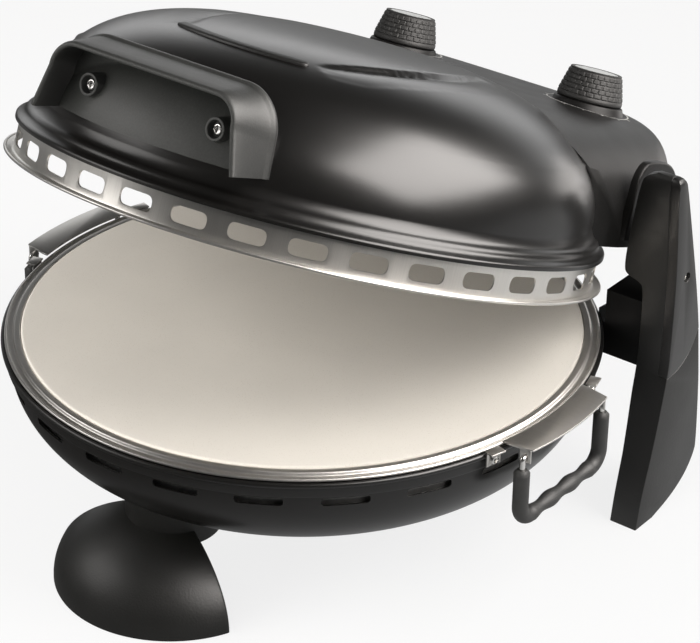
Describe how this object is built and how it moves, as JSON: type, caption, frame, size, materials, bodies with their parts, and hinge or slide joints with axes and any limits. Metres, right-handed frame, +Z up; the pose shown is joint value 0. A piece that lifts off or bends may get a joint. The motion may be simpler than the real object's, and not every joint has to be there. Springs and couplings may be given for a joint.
{
  "type": "electric pizza maker",
  "caption": "Round electric pizza oven: a baking stone in a vented bowl on legs, under a hinged dome lid with a hooded handle and control knobs.",
  "frame": {"origin": "on the table, under the middle of the object's box, with the lid half open", "axes": "+Z up, -Y towards the front handle, +X to the right as seen from the front"},
  "size_m": [0.3626, 0.395, 0.302],
  "materials": {
    "stone": "matte",
    "tray_steel": "brushed",
    "screw_steel": "polished",
    "grip_rubber": "satin",
    "black_enamel": "satin",
    "reflector": "satin",
    "heater_tube": "satin",
    "bush_ceramic": "matte",
    "leg_plastic": "satin",
    "foot_rubber": "matte",
    "cover_plastic": "satin",
    "arm_metal": "matte",
    "lid_paint": "satin",
    "handle_plastic": "satin",
    "housing_plastic": "satin",
    "control_metal": "satin",
    "knob_plastic": "matte",
    "cap_metal": "satin"
  },
  "bodies": {
    "base": {"stone": "stone", "tray_ring": "tray_steel", "side_plate_left": "tray_steel", "side_plate_right": "tray_steel", "tray_clips": "tray_steel", "tray_screws": "screw_steel", "bowl": "black_enamel", "bowl_rim": "black_enamel", "lower_reflector": "reflector", "lower_heater": "heater_tube", "lower_heater_clips": "tray_steel", "lower_terminals": "bush_ceramic", "front_foot": "leg_plastic", "front_foot_pad": "foot_rubber", "front_foot_screw": "screw_steel", "leg_left": "leg_plastic", "leg_right": "leg_plastic", "leg_cover_left": "cover_plastic", "leg_cover_right": "cover_plastic", "leg_screws": "screw_steel", "leg_pads": "foot_rubber", "hinge_arm_left": "arm_metal", "hinge_arm_right": "arm_metal", "hinge_pins": "screw_steel", "arm_bolts": "screw_steel"},
    "bail_left": {"bail_wire_left": "screw_steel", "bail_grip_left": "grip_rubber"},
    "bail_right": {"bail_wire_right": "screw_steel", "bail_grip_right": "grip_rubber"},
    "lid": {"lid_dome": "lid_paint", "slotted_ring": "tray_steel", "upper_reflector": "reflector", "upper_heater": "heater_tube", "upper_heater_clips": "tray_steel", "upper_terminals": "bush_ceramic", "front_strip": "leg_plastic", "handle": "handle_plastic", "handle_screws": "screw_steel", "control_housing": "housing_plastic", "housing_base": "housing_plastic", "housing_screws": "screw_steel", "housing_cheeks": "housing_plastic", "cord_gland": "foot_rubber", "thermostat": "control_metal", "timer": "control_metal", "control_nuts": "screw_steel"},
    "knob_left": {"knob_left": "knob_plastic", "knob_cap_left": "cap_metal", "shaft_left": "screw_steel"},
    "knob_right": {"knob_right": "knob_plastic", "knob_cap_right": "cap_metal", "shaft_right": "screw_steel"}
  },
  "joints": [
    {"name": "lid_hinge", "type": "hinge", "parent": "base", "child": "lid", "pos_m": [0, 0.14465, 0.1408], "axis": [-1, 0, 0], "range_deg": [-21.7, 55]},
    {"name": "bail_left_swing", "type": "hinge", "parent": "base", "child": "bail_left", "pos_m": [-0.1735, -0.02175, 0.1054], "axis": [0, 1, 0], "range_deg": [0, 90]},
    {"name": "bail_right_swing", "type": "hinge", "parent": "base", "child": "bail_right", "pos_m": [0.1735, -0.02175, 0.1054], "axis": [0, -1, 0], "range_deg": [0, 90]},
    {"name": "knob_left_turn", "type": "hinge", "parent": "lid", "child": "knob_left", "pos_m": [-0.066, 0.1541, 0.19528], "axis": [0, 0.3704, 0.9289], "range_deg": [-270, 0]},
    {"name": "knob_right_turn", "type": "hinge", "parent": "lid", "child": "knob_right", "pos_m": [0.066, 0.1541, 0.19528], "axis": [0, 0.3704, 0.9289], "range_deg": [-300, 0]}
  ]
}
